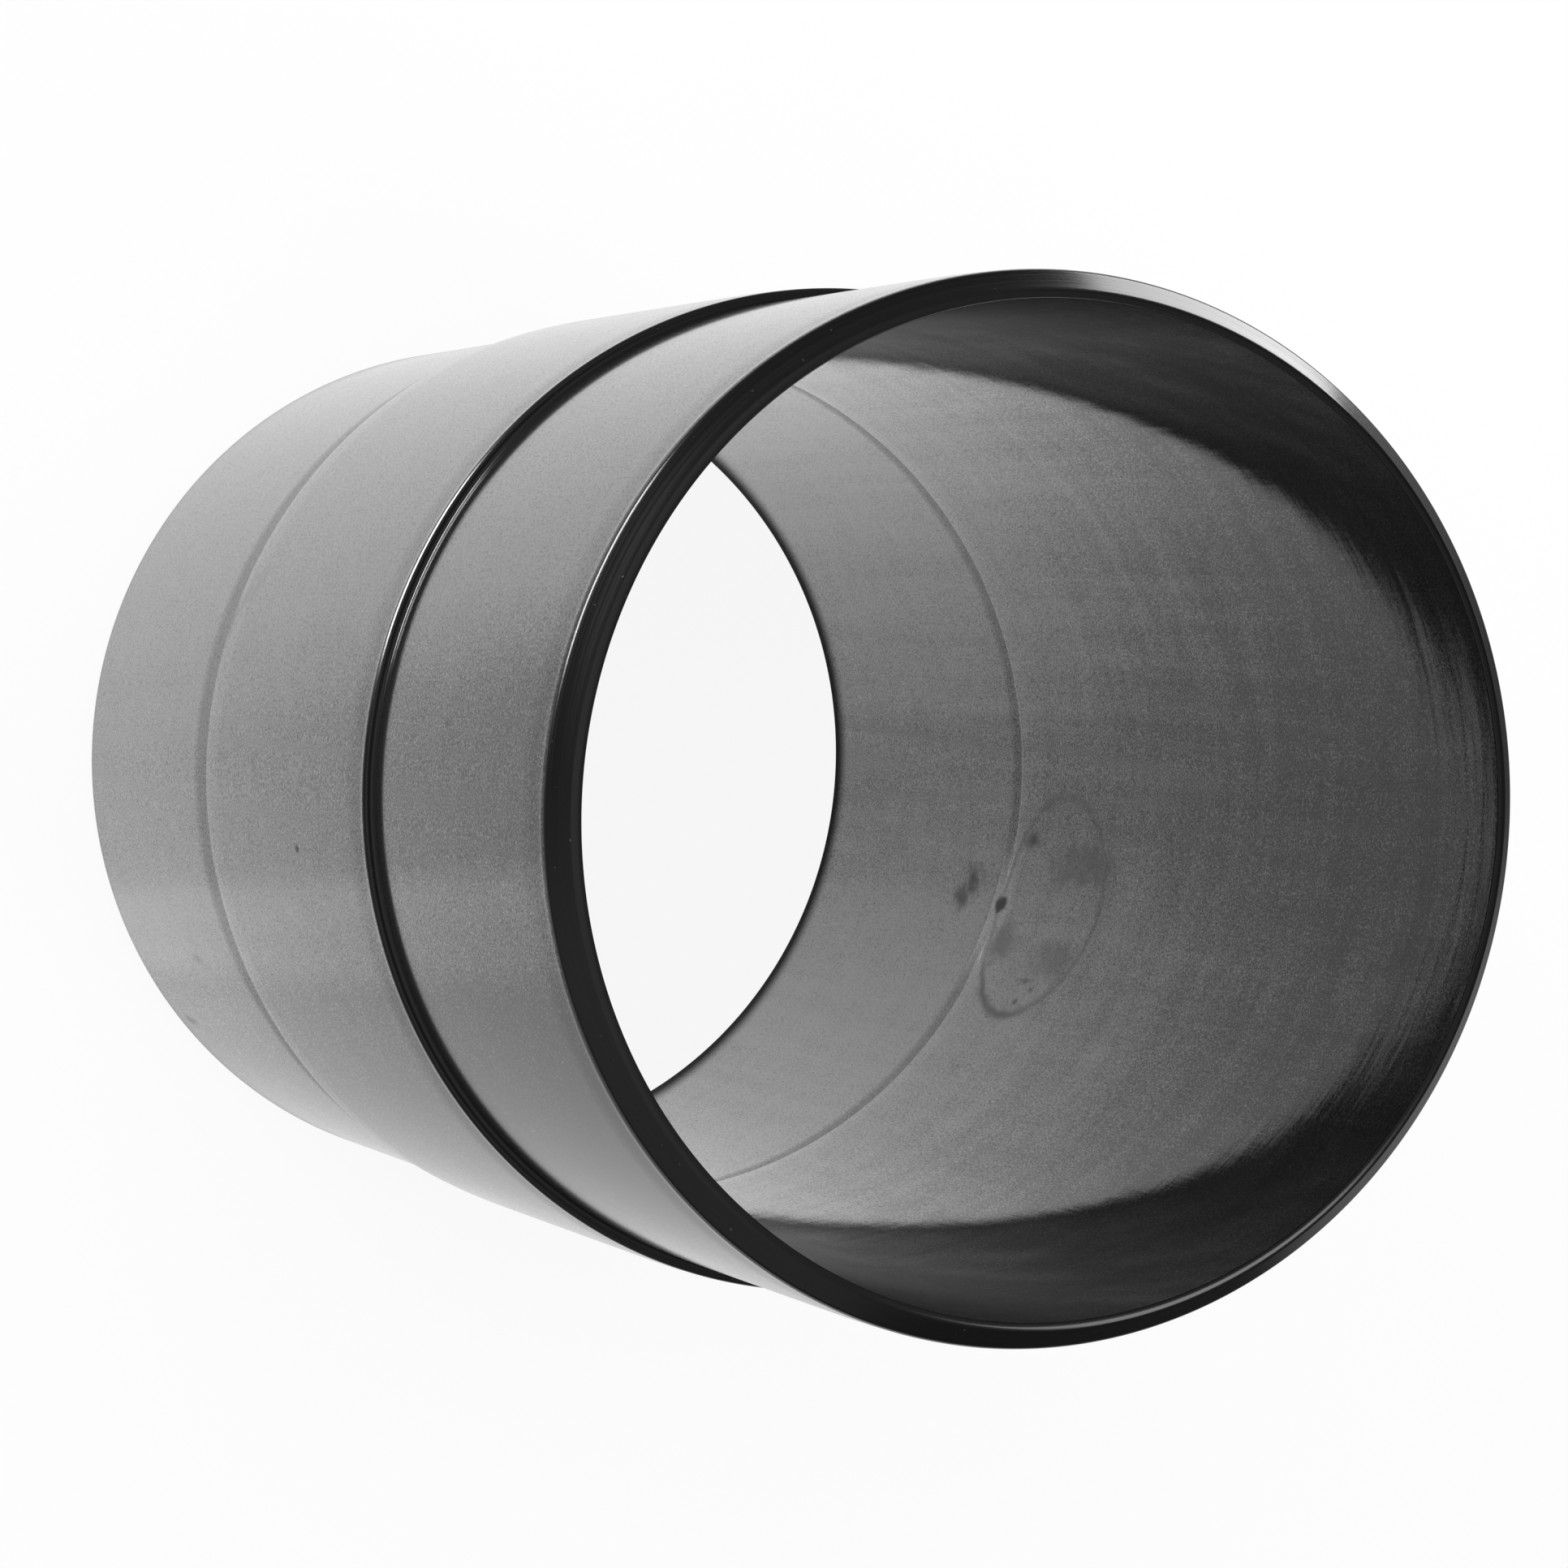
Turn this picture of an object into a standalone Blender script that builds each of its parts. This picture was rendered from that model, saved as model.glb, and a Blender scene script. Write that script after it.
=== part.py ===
"""Hose splice connector: one stepped, open tube moulded in black plastic.

The tube stands on its lower end.  +Z is the axis, and the origin is the
centre of the lower end.  All sizes are in metres.
"""
import math

import bmesh
import bpy

# Upper sleeve: the plain end that a hose is pushed over
UPPER_DIAMETER = 0.1016
UPPER_LENGTH = 0.0494
UPPER_LEAD_IN = 0.0023
UPPER_END_WALL = 0.0030

# Collar: the thicker middle that stops the hose
COLLAR_STEP = 0.0012
COLLAR_LENGTH = 0.0559
COLLAR_BASE_WALL = 0.00375

# Lower sleeve: set in from the collar and drafted towards its free end
LOWER_STEP = 0.0010
LOWER_DRAFT = 0.00015
LOWER_LENGTH = 0.0531
LOWER_LEAD_IN = 0.0013
LOWER_ROOT_WALL = 0.0024
LOWER_END_WALL = 0.0021

# Edge roundings
LEAD_IN_ROUND = 0.0006
END_FACE_ROUND = 0.0002
BORE_EDGE_ROUND = 0.00012
COLLAR_TOP_ROUND = 0.0003
COLLAR_TOP_FILLET = 0.0010
COLLAR_BASE_ROUND = 0.0006
COLLAR_BASE_FILLET = 0.0003
BORE_STEP_ROUND = 0.0002
BORE_STEP_FILLET = 0.0001

# Facets
TURN_STEPS = 96
ARC_STEP = math.radians(30.0)

COLLAR_BASE_HEIGHT = LOWER_LENGTH
COLLAR_TOP_HEIGHT = COLLAR_BASE_HEIGHT + COLLAR_LENGTH
TOTAL_HEIGHT = COLLAR_TOP_HEIGHT + UPPER_LENGTH


def wall_corners():
    """Corners of the wall's section as (radius, height, rounding), outer side going up."""
    upper = UPPER_DIAMETER / 2
    collar = upper + COLLAR_STEP
    lower_root = collar - LOWER_STEP
    lower_end = lower_root - LOWER_DRAFT
    return [
        (lower_end - LOWER_LEAD_IN, 0.0, END_FACE_ROUND),
        (lower_end, LOWER_LEAD_IN, LEAD_IN_ROUND),
        (lower_root, COLLAR_BASE_HEIGHT, COLLAR_BASE_FILLET),
        (collar, COLLAR_BASE_HEIGHT, COLLAR_BASE_ROUND),
        (collar, COLLAR_TOP_HEIGHT, COLLAR_TOP_ROUND),
        (upper, COLLAR_TOP_HEIGHT, COLLAR_TOP_FILLET),
        (upper, TOTAL_HEIGHT - UPPER_LEAD_IN, LEAD_IN_ROUND),
        (upper - UPPER_LEAD_IN, TOTAL_HEIGHT, END_FACE_ROUND),
        (upper - UPPER_END_WALL, TOTAL_HEIGHT, BORE_EDGE_ROUND),
        (collar - COLLAR_BASE_WALL, COLLAR_BASE_HEIGHT, BORE_STEP_ROUND),
        (lower_root - LOWER_ROOT_WALL, COLLAR_BASE_HEIGHT, BORE_STEP_FILLET),
        (lower_end - LOWER_END_WALL, 0.0, BORE_EDGE_ROUND),
    ]


def round_corner(before, corner, after, radius):
    """Points of the arc that rounds a corner between two straight runs."""
    in_x, in_y = corner[0] - before[0], corner[1] - before[1]
    out_x, out_y = after[0] - corner[0], after[1] - corner[1]
    in_length = math.hypot(in_x, in_y)
    out_length = math.hypot(out_x, out_y)
    in_x, in_y = in_x / in_length, in_y / in_length
    out_x, out_y = out_x / out_length, out_y / out_length
    turn = math.atan2(in_x * out_y - in_y * out_x, in_x * out_x + in_y * out_y)
    setback = radius * math.tan(abs(turn) / 2)
    side = math.copysign(1.0, turn)
    start = (corner[0] - in_x * setback, corner[1] - in_y * setback)
    centre = (start[0] - in_y * side * radius, start[1] + in_x * side * radius)
    steps = max(2, math.ceil(abs(turn) / ARC_STEP))
    points = []
    for step in range(steps + 1):
        angle = turn * step / steps
        spoke_x, spoke_y = start[0] - centre[0], start[1] - centre[1]
        points.append((
            centre[0] + spoke_x * math.cos(angle) - spoke_y * math.sin(angle),
            centre[1] + spoke_x * math.sin(angle) + spoke_y * math.cos(angle),
        ))
    return points


def wall_section(corners):
    """The closed section of the wall, with every corner rounded."""
    points = []
    for index, (radius, height, rounding) in enumerate(corners):
        before = corners[index - 1]
        after = corners[(index + 1) % len(corners)]
        points.extend(round_corner(before, (radius, height), after, rounding))
    return points


def turned_mesh(name, section):
    """Turn a closed section once round the Z axis."""
    shape = bmesh.new()
    ring = [shape.verts.new((radius, 0.0, height)) for radius, height in section]
    edges = [shape.edges.new((ring[i - 1], ring[i])) for i in range(len(ring))]
    bmesh.ops.spin(
        shape,
        geom=ring + edges,
        cent=(0.0, 0.0, 0.0),
        axis=(0.0, 0.0, 1.0),
        angle=math.tau,
        steps=TURN_STEPS,
        use_merge=True,
    )
    bmesh.ops.recalc_face_normals(shape, faces=shape.faces)
    mesh = bpy.data.meshes.new(name)
    shape.to_mesh(mesh)
    shape.free()
    mesh.shade_smooth()
    mesh.set_sharp_from_angle(angle=math.radians(35.0))
    return mesh


def black_plastic():
    """Black plastic with the dull sheen of a moulded part."""
    material = bpy.data.materials.new("black_plastic")
    material.use_nodes = True
    shader = material.node_tree.nodes["Principled BSDF"]
    shader.inputs["Base Color"].default_value = (0.022, 0.022, 0.023, 1.0)
    shader.inputs["Roughness"].default_value = 0.42
    shader.inputs["Metallic"].default_value = 0.0
    return material


for old in list(bpy.data.objects):
    bpy.data.objects.remove(old, do_unlink=True)

body_mesh = turned_mesh("connector_body", wall_section(wall_corners()))
body_mesh.materials.append(black_plastic())
body = bpy.data.objects.new("connector_body", body_mesh)
bpy.context.scene.collection.objects.link(body)
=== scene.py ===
import math

import bmesh
import bpy
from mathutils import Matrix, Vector


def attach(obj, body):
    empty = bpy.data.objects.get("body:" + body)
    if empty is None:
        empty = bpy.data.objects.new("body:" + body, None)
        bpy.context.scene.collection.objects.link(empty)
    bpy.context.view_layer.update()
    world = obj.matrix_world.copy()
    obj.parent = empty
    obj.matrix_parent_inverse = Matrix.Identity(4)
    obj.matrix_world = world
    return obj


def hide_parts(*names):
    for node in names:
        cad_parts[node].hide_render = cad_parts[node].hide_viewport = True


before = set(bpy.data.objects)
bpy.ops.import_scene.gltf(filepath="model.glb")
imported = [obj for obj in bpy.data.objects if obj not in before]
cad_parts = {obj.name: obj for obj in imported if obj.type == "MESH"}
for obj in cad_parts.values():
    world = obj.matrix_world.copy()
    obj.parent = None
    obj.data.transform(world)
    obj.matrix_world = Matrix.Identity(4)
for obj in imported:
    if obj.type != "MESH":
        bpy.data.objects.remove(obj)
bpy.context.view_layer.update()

# Connector body. One open tube, injection moulded in black plastic: two plain
# sleeves that hoses are pushed over, a thicker collar between them, and a
# bevel turned on each mouth. The walls sink a little beside their edges.
MM = 0.001

# Corners of the wall's section, the outer side going up: radius, height and
# how far the rounding reaches along each side, all in millimetres.
wall_corners = [
    # lower mouth, lower sleeve and the groove behind the collar
    (49.55, 0.0, 0.20),
    (50.85, 1.3, 0.30),
    (50.99, 46.8, 0.80),
    (50.70, 50.4, 0.60),
    (50.76, 53.7, 0.25),
    # collar, with a small bevel on its upper corner
    (51.90, 53.7, 0.45),
    (52.00, 57.0, 1.50),
    (52.00, 104.8, 1.20),
    (51.87, 108.0, 0.35),
    (51.91, 108.60, 0.14),
    (51.62, 109.0, 0.16),
    # upper sleeve, its bevel and the end face
    (50.80, 109.0, 0.45),
    (50.80, 151.9, 1.20),
    (50.68, 155.2, 0.40),
    (50.72, 156.1, 0.50),
    (48.50, 158.4, 0.48),
    (47.80, 158.4, 0.12),
    (47.90, 150.5, 2.50),
    # bore, with the line where it opens below the collar
    (48.235, 57.1, 0.80),
    (48.31, 54.55, 0.36),
    (48.80, 53.95, 0.34),
    (48.58, 51.9, 0.60),
    (48.75, 0.0, 0.12),
]

wall = bmesh.new()
corners = [wall.verts.new((radius * MM, 0.0, height * MM)) for radius, height, reach in wall_corners]
for before, after in zip(corners, corners[1:] + corners[:1]):
    wall.edges.new((before, after))
for corner, (radius, height, reach) in zip(corners, wall_corners):
    bmesh.ops.bevel(wall, geom=[corner], offset=reach * MM, offset_type="OFFSET", affect="VERTICES",
                    segments=6, profile=0.5, material=-1)
# A loop close to each rounding keeps the long walls straight in the light.
long_run, loop_gap = 0.4 * MM, 0.06 * MM
for run in [edge for edge in wall.edges if edge.calc_length() > long_run]:
    share = loop_gap / run.calc_length()
    first, last = run.verts
    _, loop_point = bmesh.utils.edge_split(run, first, share)
    rest = next(edge for edge in loop_point.link_edges if last in edge.verts)
    bmesh.utils.edge_split(rest, last, share)
bmesh.ops.spin(wall, geom=wall.verts[:] + wall.edges[:], cent=(0, 0, 0), axis=(0, 0, 1),
               angle=math.tau, steps=384, use_merge=True)
# For a short way round, the line inside the bore is filled up level with the wall above it.
line_bottom, line_top, line_radius, fill_slope = 51.9, 57.1, 48.235, 0.0663
fill_angle, fill_half_width, fill_ease = 70.0, 11.5, 7.0
bore_limit = 49.3
for point in wall.verts:
    radius, height = point.co.xy.length / MM, point.co.z / MM
    if radius < bore_limit and line_bottom < height < line_top:
        angle = math.degrees(math.atan2(point.co.y, point.co.x))
        filled = min(1.0, max(0.0, (fill_half_width - abs(angle - fill_angle)) / fill_ease))
        level = line_radius + (line_top - height) * fill_slope
        point.co.xy = point.co.xy * (1.0 + (level / radius - 1.0) * filled)
bmesh.ops.recalc_face_normals(wall, faces=wall.faces)
# The bevels, end faces and step faces are cut on a lathe and stay blacker.
sloping = 0.35
for face in wall.faces:
    face.material_index = 1 if abs(face.normal.z) > sloping else 0
body_mesh = bpy.data.meshes.new("tube_wall")
wall.to_mesh(body_mesh)
wall.free()
body_mesh.shade_smooth()
tube = bpy.data.objects.new("tube_wall", body_mesh)
bpy.context.collection.objects.link(tube)


def shade(tree, kind, inputs, **settings):
    """Add a shader node and fill its inputs with numbers or with other nodes' outputs."""
    made = tree.nodes.new("ShaderNode" + kind)
    for option, choice in settings.items():
        setattr(made, option, choice)
    for socket, value in inputs.items():
        if isinstance(value, bpy.types.NodeSocket):
            tree.links.new(value, made.inputs[socket])
        else:
            made.inputs[socket].default_value = value
    return made


def figure(tree, operation, *values, clamp=False):
    """One step of arithmetic on numbers or outputs."""
    return shade(tree, "Math", dict(enumerate(values)), operation=operation, use_clamp=clamp).outputs[0]


def spread(tree, value, low, high, to_low=0.0, to_high=1.0, smooth=True):
    """Stretch a range of a value onto another range, held at both ends."""
    curve = "SMOOTHSTEP" if smooth else "LINEAR"
    return shade(tree, "MapRange", {"Value": value, "From Min": low, "From Max": high,
                                    "To Min": to_low, "To Max": to_high}, interpolation_type=curve).outputs[0]


def swing(tree, noise, amount):
    """The middle range of a noise as a change, down or up by an amount."""
    return spread(tree, noise, 0.3, 0.7, -amount, amount, smooth=False)


def blend(tree, share, first, second):
    """A number between two others."""
    return shade(tree, "Mix", {0: share, 2: first, 3: second}, data_type="FLOAT").outputs[0]


def blend_colour(tree, share, first, second):
    """A colour between two others."""
    return shade(tree, "Mix", {0: share, 6: first, 7: second}, data_type="RGBA").outputs[2]


def split(tree, vector):
    """The X, Y and Z of a vector."""
    return shade(tree, "SeparateXYZ", {0: vector}).outputs


def object_spot(tree):
    """The point being shaded, in the object's own metres."""
    return shade(tree, "TexCoord", {}).outputs["Object"]


def span(tree, vector):
    """The length of a vector."""
    return shade(tree, "VectorMath", {0: vector}, operation="LENGTH").outputs["Value"]


def offset_from(tree, vector, place):
    """The way from a place to a point."""
    return shade(tree, "VectorMath", {0: vector, 1: place}, operation="SUBTRACT").outputs[0]


def effect(name, inputs, outputs):
    """A new node group, the outputs that carry what it is given, and the inputs for what it gives."""
    group = bpy.data.node_groups.new(name, "ShaderNodeTree")
    for label, kind, start in inputs:
        socket = group.interface.new_socket(label, in_out="INPUT", socket_type="NodeSocket" + kind)
        socket.default_value = start
    for label, kind in outputs:
        group.interface.new_socket(label, in_out="OUTPUT", socket_type="NodeSocket" + kind)
    return group, group.nodes.new("NodeGroupInput").outputs, group.nodes.new("NodeGroupOutput").inputs


# Grain: the fine matt tooth of the plastic, the same in every direction.
grain, given, made = effect("moulded_grain", [("Size", "Float", 0.3)], [("Grain", "Float")])
fineness = figure(grain, "DIVIDE", 1.0 / MM, given["Size"])
noise = shade(grain, "TexNoise", {"Vector": object_spot(grain), "Scale": fineness, "Detail": 2.0,
                                  "Roughness": 0.6})
grain.links.new(noise.outputs["Fac"], made["Grain"])

# Turned lines: bands that run round the tube, drawn out along its girth.
lines, given, made = effect("turned_lines", [("Pitch", "Float", 0.5), ("Run", "Float", 60.0)],
                            [("Lines", "Float")])
parts = split(lines, object_spot(lines))
girth = figure(lines, "DIVIDE", 1.0 / MM, given["Run"])
climb = figure(lines, "DIVIDE", 1.0 / MM, given["Pitch"])
drawn = shade(lines, "CombineXYZ", {0: figure(lines, "MULTIPLY", parts["X"], girth),
                                    1: figure(lines, "MULTIPLY", parts["Y"], girth),
                                    2: figure(lines, "MULTIPLY", parts["Z"], climb)}).outputs[0]
noise = shade(lines, "TexNoise", {"Vector": drawn, "Scale": 1.0, "Detail": 3.0, "Roughness": 0.55})
lines.links.new(noise.outputs["Fac"], made["Lines"])

# Smudge: one mark of dirt, grease or rub with a ragged edge.
smudge, given, made = effect(
    "smudge", [("Torn", "Float", 0.5), ("Place", "Vector", (0.0, 0.0, 0.0)), ("Reach", "Float", 2.0),
               ("Along", "Float", 1.0), ("Ragged", "Float", 0.4), ("Soft", "Float", 0.6)],
    [("Mask", "Float"), ("Rim", "Float")])
parts = split(smudge, offset_from(smudge, object_spot(smudge), given["Place"]))
squashed = shade(smudge, "CombineXYZ", {0: parts["X"], 1: parts["Y"],
                                        2: figure(smudge, "DIVIDE", parts["Z"], given["Along"])}).outputs[0]
far = figure(smudge, "DIVIDE", span(smudge, squashed), figure(smudge, "MULTIPLY", given["Reach"], MM))
raggedness = figure(smudge, "MULTIPLY", given["Ragged"], 3.0)
torn = figure(smudge, "MULTIPLY", figure(smudge, "SUBTRACT", given["Torn"], 0.5), raggedness)
far = figure(smudge, "ADD", far, torn)
full_from = figure(smudge, "SUBTRACT", 1.0, given["Soft"])
smudge.links.new(spread(smudge, far, 1.0, full_from, 0.0, 1.0), made["Mask"])
rim_width = 0.085
off_rim = figure(smudge, "ABSOLUTE", figure(smudge, "SUBTRACT", far, 1.0))
smudge.links.new(spread(smudge, off_rim, 0.0, rim_width, 1.0, 0.0), made["Rim"])


def placed(tree, group, output, **inputs):
    """Put a node group into a material with its own values and give one of its outputs."""
    return shade(tree, "Group", inputs, node_tree=group).outputs[output]


def relief_on(tree, height, depth, below=None):
    """Relief in the shading to a depth, on top of other relief if there is some."""
    inputs = {"Strength": 1.0, "Distance": depth, "Height": height}
    if below is not None:
        inputs["Normal"] = below
    return shade(tree, "Bump", inputs).outputs[0]


def share_of_turn(degrees):
    """An angle from -180 to 180 degrees as a share of the whole turn."""
    return degrees / 360.0 + 0.5


def round_ramp(tree, turn, stops):
    """A value that changes round the tube; stops are (degrees, value) from -180 to 180."""
    ramp = shade(tree, "ValToRGB", {0: turn})
    ramp.color_ramp.interpolation = "EASE"
    band = ramp.color_ramp.elements
    while len(band) < len(stops):
        band.new(0.5)
    for stop, (degrees, value) in zip(band, stops):
        stop.position = share_of_turn(degrees)
        stop.color = (value, value, value, 1.0)
    return ramp.outputs["Color"]


# Moulded wall: the straight walls inside and out, dull where they were left
# as moulded and glossier where hoses and hands have rubbed them, with painted reflection in the coat.
moulded = bpy.data.materials.new("moulded_black")
moulded.use_nodes = True
tree = moulded.node_tree
wall_shader = tree.nodes["Principled BSDF"]
wall_shader.inputs["IOR"].default_value = 1.35
wall_shader.inputs["Coat Roughness"].default_value = 0.09
wall_shader.inputs["Coat IOR"].default_value = 1.70

parts = split(tree, object_spot(tree))
height = figure(tree, "MULTIPLY", parts["Z"], 1.0 / MM)
angle = figure(tree, "ARCTAN2", parts["Y"], parts["X"])
turn = figure(tree, "MULTIPLY_ADD", angle, 1.0 / math.tau, 0.5)
flat = shade(tree, "CombineXYZ", {0: parts["X"], 1: parts["Y"]}).outputs[0]
between_walls = 49.7 * MM
outside = figure(tree, "GREATER_THAN", span(tree, flat), between_walls)
in_bore = figure(tree, "SUBTRACT", 1.0, outside)

# The rubs and their painted reflection bands lean a little round the tube as they climb it.
tube_length = 158.0
lean = spread(tree, height, 0.0, tube_length, -9.35 / 360.0, 4.08 / 360.0, smooth=False)
outer_turn = figure(tree, "ADD", turn, lean)
# Painted reflection, partly real rubbing: the coat's strength at each stop round the outside makes the
# mirrored card show lighter and darker bands.
outer_rub_and_sheen = round_ramp(tree, outer_turn, [
    (-180, 0.68), (-150, 0.88), (-124, 0.93), (-114, 0.90), (-106, 0.75), (-96, 0.55), (-82.4, 0.51),
    (-78.2, 0.80), (-72, 0.65), (-65, 0.22), (-52, 0.0), (-40, 0.0), (-26, 0.36), (20, 0.64), (70, 0.51),
    (130, 0.70), (180, 0.68)])
worn_side_and_sheen = spread(tree, outer_turn, share_of_turn(-112.0), share_of_turn(-98.0))
# Painted reflection: on most of the outside the coat fades towards the upper mouth, so the lower sleeve
# mirrors lighter.
outer_rise = spread(tree, height, 30.0, 150.0, 0.12, -0.34, smooth=False)
outer_polish_and_sheen = figure(tree, "ADD", outer_rub_and_sheen, figure(tree, "MULTIPLY", outer_rise, worn_side_and_sheen))
lean = spread(tree, height, 0.0, tube_length, 1.8 / 360.0, -2.8 / 360.0, smooth=False)
inner_turn = figure(tree, "ADD", turn, lean)
# Painted reflection, partly real rubbing: the same round the inside of the bore.
inner_rub_and_sheen = round_ramp(tree, inner_turn, [
    (-180, 0.60), (-140, 0.80), (-90, 0.70), (-40, 0.80), (0, 0.70), (22, 0.84), (34, 0.86),
    (52, 0.98), (66, 0.88), (79, 0.58), (88, 0.46), (97, 0.46), (99.6, 0.60), (118, 0.74),
    (134, 0.94), (158, 0.96), (180, 0.60)])
# Painted reflection: inside, the coat fades out towards the upper mouth and comes back a little just below
# it.
inner_rise = spread(tree, height, 32.0, 155.0, 1.0, 0.0)
mouth_strip = spread(tree, height, 146.0, 152.0, 0.0, 0.15)
inner_polish_and_sheen = figure(tree, "ADD", figure(tree, "MULTIPLY", inner_rub_and_sheen, inner_rise), mouth_strip)
polish_and_sheen = blend(tree, outside, inner_polish_and_sheen, outer_polish_and_sheen)

tooth = placed(tree, grain, "Grain", Size=0.21)
mottle = placed(tree, grain, "Grain", Size=4.0)
fine_bands = placed(tree, lines, "Lines", Pitch=0.45, Run=25.0)
broad_bands = placed(tree, lines, "Lines", Pitch=3.2, Run=24.0)
waves = placed(tree, lines, "Lines", Pitch=8.0, Run=40.0)
# Drag marks run along the bore, from the core that was pulled out of it.
drag = placed(tree, lines, "Lines", Pitch=55.0, Run=2.4)

# The bands are plainest in the upper two thirds of the bore, and faint outside.
band_strength = blend(tree, outside, spread(tree, height, 50.0, 78.0, 0.35, 1.0), 0.12)
polish_and_sheen = figure(tree, "ADD", polish_and_sheen, swing(tree, tooth, 0.64))
polish_and_sheen = figure(tree, "ADD", polish_and_sheen, swing(tree, mottle, 0.05))
polish_and_sheen = figure(tree, "ADD", polish_and_sheen, figure(tree, "MULTIPLY", swing(tree, broad_bands, 0.10), band_strength))
polish_and_sheen = figure(tree, "ADD", polish_and_sheen, figure(tree, "MULTIPLY", swing(tree, drag, 0.08), in_bore), clamp=True)

torn = placed(tree, grain, "Grain", Size=2.4)


def dirt_from(tree, torn, marks):
    """The darkest of a list of marks at each point.

    A mark is its place in millimetres, reach, how much longer along the tube, how ragged, how soft
    and how dark.
    """
    dirt = 0.0
    for place, reach, along, ragged, soft, depth in marks:
        mark = placed(tree, smudge, "Mask", Torn=torn, Place=[c * MM for c in place], Reach=reach,
                      Along=along, Ragged=ragged, Soft=soft)
        dirt = figure(tree, "MAXIMUM", dirt, figure(tree, "MULTIPLY", mark, depth))
    return dirt


dirt_inside = dirt_from(tree, torn, [
    # the dark speck, its blotches and dots round the line inside the bore
    ((15.1, 45.6, 54.6), 1.6, 1.4, 0.40, 0.60, 1.00),
    ((13.0, 46.4, 45.4), 3.2, 1.2, 0.50, 0.90, 0.90),
    ((14.9, 45.9, 43.2), 2.8, 1.2, 0.50, 0.90, 0.80),
    ((7.6, 47.6, 59.3), 1.9, 1.6, 0.30, 1.00, 0.85),
    ((9.9, 47.1, 72.5), 3.6, 3.0, 0.40, 0.60, 0.50),
    ((20.6, 43.5, 73.0), 3.4, 2.3, 0.40, 0.70, 0.42),
    ((19.6, 44.0, 58.0), 3.6, 1.6, 0.40, 0.80, 0.50),
    ((23.3, 42.2, 68.4), 0.60, 5.0, 0.30, 0.80, 0.60),
    ((24.2, 41.7, 71.0), 0.60, 1.6, 0.30, 0.80, 0.55),
    ((25.7, 40.8, 69.0), 0.70, 1.5, 0.20, 0.70, 0.65),
])
dirt_outside = dirt_from(tree, torn, [
    # two darker patches along the groove, a speck, two faint ones on the lower sleeve
    ((-16.4, -49.3, 53.6), 6.5, 0.5, 0.60, 1.00, 0.34),
    ((-19.5, -48.2, 57.0), 5.0, 1.2, 0.60, 1.00, 0.16),
    ((6.97, -51.53, 86.4), 0.55, 1.6, 0.20, 0.60, 0.80),
    ((22.5, -45.7, 30.3), 1.2, 2.5, 0.50, 1.00, 0.30),
    ((31.8, -39.6, 7.0), 1.6, 2.5, 0.50, 1.00, 0.35),
])

# A dried drop has left its rim inside the bore, darkest at its lower corner.
drop_rim = placed(tree, smudge, "Rim", Torn=torn, Place=(15.3 * MM, 45.7 * MM, 67.0 * MM), Reach=13.4,
                  Along=0.93, Ragged=0.03, Soft=0.6)
drop_corner = placed(tree, smudge, "Mask", Torn=torn, Place=(26.4 * MM, 40.3 * MM, 63.5 * MM), Reach=10.0,
                     Along=1.0, Ragged=0.20, Soft=0.9)
drop_dark = spread(tree, drop_corner, 0.0, 0.6, 0.46, 0.68, smooth=False)
dirt_inside = figure(tree, "MAXIMUM", dirt_inside, figure(tree, "MULTIPLY", drop_rim, drop_dark))
dirt = blend(tree, outside, dirt_inside, dirt_outside)

# Colour: nearly black, a little browner where it is dirty, with a few pale specks of dust.
speckle = placed(tree, grain, "Grain", Size=0.8)
dust = spread(tree, speckle, 0.745, 0.80, 0.0, 0.5)
colour = blend_colour(tree, tooth, (0.0015, 0.0015, 0.0016, 1.0), (0.0160, 0.0160, 0.0162, 1.0))
colour = blend_colour(tree, dirt, colour, (0.006, 0.0055, 0.005, 1.0))
colour = blend_colour(tree, dust, colour, (0.22, 0.22, 0.21, 1.0))
tree.links.new(colour, wall_shader.inputs["Base Color"])

# Painted shade in reflections: where one side of the bore mirrors the other, the mirrored side is made dull
# and shows only its bands, so it mirrors darker.
mirrored = shade(tree, "LightPath", {}).outputs["Is Glossy Ray"]
dullness = blend(tree, outside, 0.08, 0.15)
dullness = figure(tree, "ADD", dullness, swing(tree, tooth, 0.03))
dullness = figure(tree, "ADD", dullness, figure(tree, "MULTIPLY", dirt, 0.45))
tree.links.new(blend(tree, mirrored, dullness, 0.38), wall_shader.inputs["Roughness"])
polish_and_sheen = figure(tree, "MULTIPLY", polish_and_sheen, figure(tree, "SUBTRACT", 1.0, dirt))
bands_only = spread(tree, broad_bands, 0.50, 0.64, 0.0, 0.36)
tree.links.new(blend(tree, mirrored, polish_and_sheen, bands_only), wall_shader.inputs["Coat Weight"])

relief = relief_on(tree, tooth, 0.0022 * MM)
relief = relief_on(tree, fine_bands, 0.0008 * MM, relief)
ripple = figure(tree, "MULTIPLY_ADD", broad_bands, 0.35, waves)
relief = relief_on(tree, figure(tree, "MULTIPLY", ripple, band_strength), 0.040 * MM, relief)
relief = relief_on(tree, figure(tree, "MULTIPLY", drag, in_bore), 0.013 * MM, relief)
tree.links.new(relief, wall_shader.inputs["Normal"])
body_mesh.materials.append(moulded)

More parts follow.
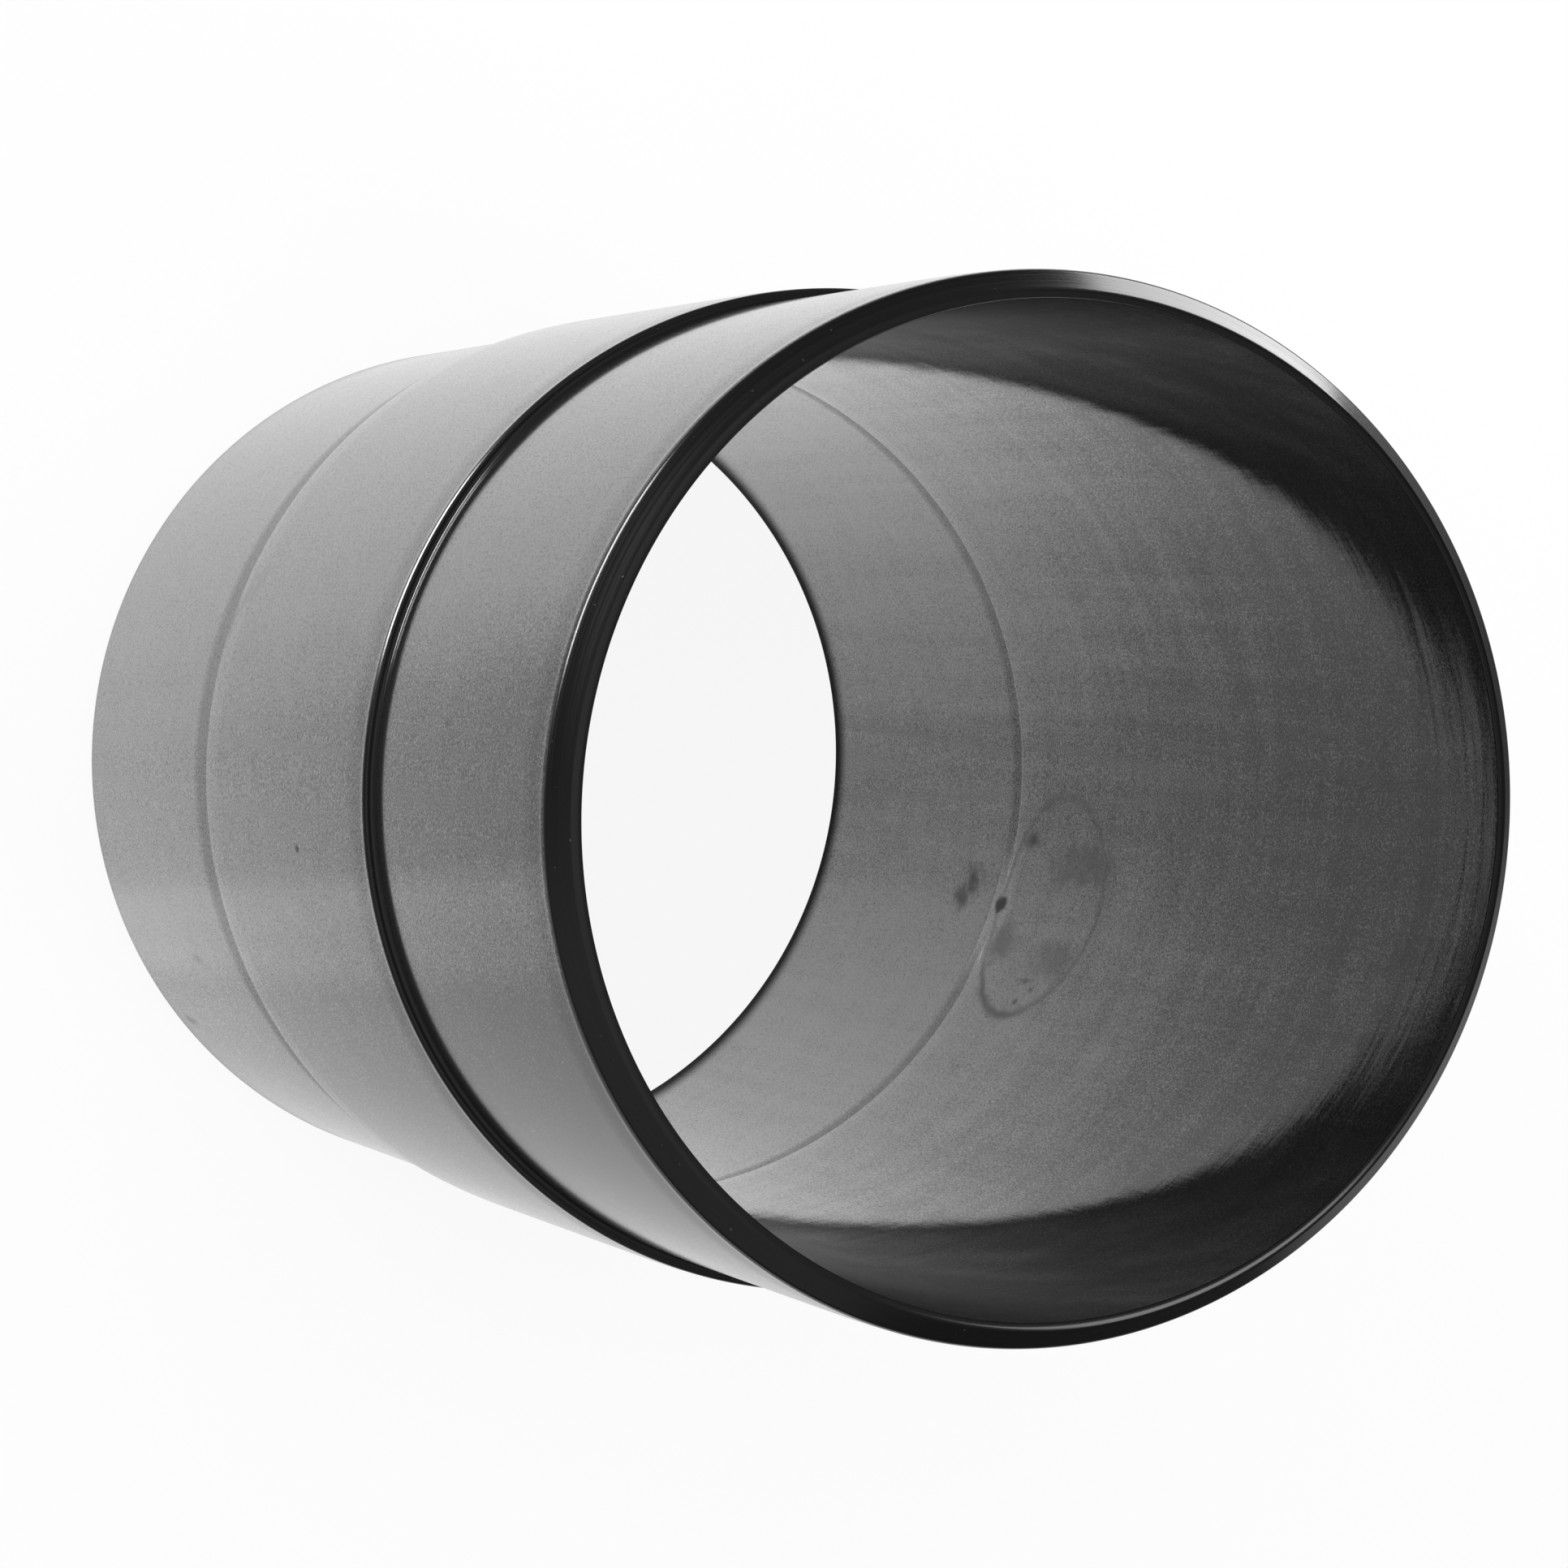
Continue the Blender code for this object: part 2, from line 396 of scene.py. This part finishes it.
# Turned edge: the bevels, end faces and step faces, cut clean on a lathe,
# with fine lines round them and a few nicks.
turned = bpy.data.materials.new("turned_black")
turned.use_nodes = True
tree = turned.node_tree
edge_shader = tree.nodes["Principled BSDF"]
edge_shader.inputs["IOR"].default_value = 1.50
cut_lines = placed(tree, lines, "Lines", Pitch=0.16, Run=60.0)
tooth = placed(tree, grain, "Grain", Size=0.25)
scuff = placed(tree, grain, "Grain", Size=0.6)
nick = spread(tree, scuff, 0.73, 0.80, 0.0, 0.35)
colour = blend_colour(tree, cut_lines, (0.004, 0.004, 0.0042, 1.0), (0.0080, 0.0080, 0.0082, 1.0))
colour = blend_colour(tree, nick, colour, (0.16, 0.16, 0.16, 1.0))
tree.links.new(colour, edge_shader.inputs["Base Color"])
tree.links.new(spread(tree, cut_lines, 0.3, 0.7, 0.14, 0.26, smooth=False), edge_shader.inputs["Roughness"])
relief = relief_on(tree, cut_lines, 0.004 * MM)
relief = relief_on(tree, tooth, 0.002 * MM, relief)
tree.links.new(relief, edge_shader.inputs["Normal"])
body_mesh.materials.append(turned)

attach(tube, "root")
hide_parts("connector_body")

# Floor. A sheet of matt white card that the connector stands on.
floor_grid = bmesh.new()
bmesh.ops.create_grid(floor_grid, x_segments=1, y_segments=1, size=4.0)
floor_mesh = bpy.data.meshes.new("floor")
floor_grid.to_mesh(floor_mesh)
floor_grid.free()
floor = bpy.data.objects.new("floor", floor_mesh)
bpy.context.collection.objects.link(floor)
card = bpy.data.materials.new("white_card")
card.use_nodes = True
tree = card.node_tree
tree.nodes.clear()
paper = shade(tree, "BsdfDiffuse", {"Color": (0.8, 0.8, 0.8, 1.0)}).outputs[0]
# Shiny surfaces see the card glow in three painted pools of light. Each has a centre, the distances
# at which its light starts and stops fading, and its brightness inside and beyond.
spot = object_spot(tree)
painted_light_pool = 0.0
for centre, fade_start, fade_stop, inside, beyond in [
        ((0.03, -0.13, 0.0), 0.26, 0.42, 0.90, 0.04),
        ((0.14, 0.35, 0.0), 0.08, 0.155, 0.41, 0.0),
        ((-0.26, 0.50, 0.0), 0.12, 0.33, 0.48, 0.0)]:
    far = span(tree, offset_from(tree, spot, centre))
    painted_light_pool = figure(tree, "MAXIMUM", painted_light_pool, spread(tree, far, fade_start, fade_stop, inside, beyond))
# Painted shadow: the glow seen by shiny surfaces is dimmed where the tube's lower mouth stands on the card.
around = span(tree, spot)
open_card = figure(tree, "MAXIMUM", spread(tree, around, 0.0469, 0.0484, 1.0, 0.08),
                   spread(tree, around, 0.0500, 0.0515, 0.08, 1.0))
painted_light_pool = figure(tree, "MULTIPLY", painted_light_pool, open_card)
# The camera sees the card nearly white, with a little of the tube's shadow.
ray = shade(tree, "LightPath", {}).outputs
white = shade(tree, "Emission", {"Strength": blend(tree, ray["Is Glossy Ray"], 1.0, painted_light_pool)}).outputs[0]
whiteness = 0.90
seen = figure(tree, "MAXIMUM", ray["Is Camera Ray"], ray["Is Transmission Ray"])
seen = figure(tree, "MULTIPLY", seen, whiteness)
mix = shade(tree, "MixShader", {0: figure(tree, "MAXIMUM", seen, ray["Is Glossy Ray"]), 1: paper, 2: white})
shade(tree, "OutputMaterial", {"Surface": mix.outputs[0]})
floor_mesh.materials.append(card)

# Room light. The room is nearly dark at table height, a little lighter in
# front to the right, and dim overhead.
world = bpy.data.worlds.new("studio")
world.use_nodes = True
tree = world.node_tree
tree.nodes.clear()
toward = split(tree, shade(tree, "TexCoord", {}).outputs["Generated"])
front_right = figure(tree, "MULTIPLY", spread(tree, toward["X"], -0.15, 0.50, 0.0, 0.30),
                     spread(tree, toward["Y"], 0.00, 0.22, 1.0, 0.0))
low = figure(tree, "ADD", front_right, 0.05)
high = spread(tree, toward["Y"], -0.30, 0.25, 0.55, 0.24)
overhead = spread(tree, toward["Z"], 0.36, 0.70)
glow = blend(tree, overhead, low, high)
# Past the floor's edge, the camera sees an even pale grey.
straight = shade(tree, "LightPath", {}).outputs["Is Camera Ray"]
sky = shade(tree, "Background", {"Strength": blend(tree, straight, glow, 1.0)})
shade(tree, "OutputWorld", {"Surface": sky.outputs[0]})
bpy.context.scene.world = world


# Softboxes. One low panel stands behind the tube and one in front of it, one
# hangs high behind it, and the largest hangs over the table.
def softbox(name, place, aim, width, height, brightness):
    """A soft panel lamp at a place, facing a point; brightness is its radiance, where 1 is white."""
    lamp = bpy.data.lights.new(name, "AREA")
    lamp.shape = "RECTANGLE"
    lamp.size = width
    lamp.size_y = height
    lamp.energy = brightness * math.pi * width * height
    panel = bpy.data.objects.new(name, lamp)
    panel.location = place
    panel.rotation_euler = (Vector(aim) - Vector(place)).to_track_quat("-Z", "Y").to_euler()
    panel.visible_camera = False
    bpy.context.collection.objects.link(panel)
    return panel


softbox("low_panel_back", (-0.298, 0.267, 0.085), (0.0, 0.0, 0.12), 0.21, 0.16, 6.5)
softbox("low_panel_front", (-0.38, -0.54, 0.10), (0.0, 0.0, 0.14), 0.36, 0.12, 38.0)
softbox("high_panel_back", (0.70, 0.75, 0.85), (0.0, 0.0, 0.08), 0.60, 0.60, 4.0)
hung = softbox("overhead_panel", (-0.30, -0.25, 1.30), (0.0, 0.0, 0.08), 1.20, 1.20, 3.0)
hung.visible_glossy = False

# Camera. It looks down into the upper mouth from in front, rolled a quarter
# turn so that the tube's axis runs across the picture.
lens = bpy.data.cameras.new("camera")
lens.lens = 103.083
lens.sensor_width = 36.0
lens.shift_x = 0.06620
lens.shift_y = 0.02785
camera = bpy.data.objects.new("camera", lens)
camera.location = (-0.016277, -0.192407, 0.531671)
camera.rotation_euler = (math.radians(-2.9253), math.radians(-22.3849), math.radians(91.1149))
bpy.context.collection.objects.link(camera)
bpy.context.scene.camera = camera

bpy.context.scene.view_settings.view_transform = "Standard"
